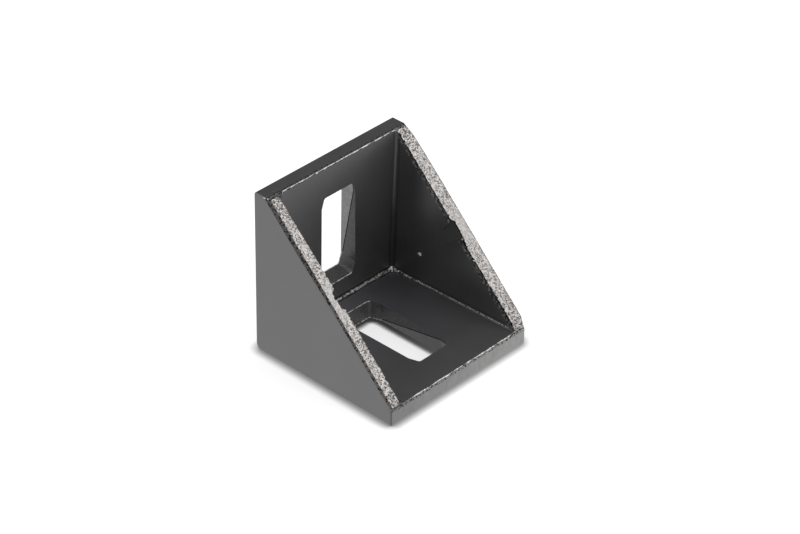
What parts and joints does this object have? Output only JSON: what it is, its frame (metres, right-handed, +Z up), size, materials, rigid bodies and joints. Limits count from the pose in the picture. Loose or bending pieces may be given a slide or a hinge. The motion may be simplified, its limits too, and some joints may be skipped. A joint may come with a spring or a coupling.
{
  "type": "t slot corner bracket",
  "caption": "Die-cast right-angle bracket for slotted framing: two flanges, each with one long fixing slot, joined by two triangular side gussets.",
  "frame": {"origin": "middle of the base flange's outer face", "axes": "+X along the base flange away from the back flange, +Y across the width, +Z up the back flange"},
  "size_m": [0.019, 0.02, 0.019],
  "materials": {
    "black_coat": "satin black coat on a die casting, with both sloping faces ground back to bare metal"
  },
  "bodies": {
    "root": {"corner_bracket": "black_coat"}
  },
  "joints": []
}
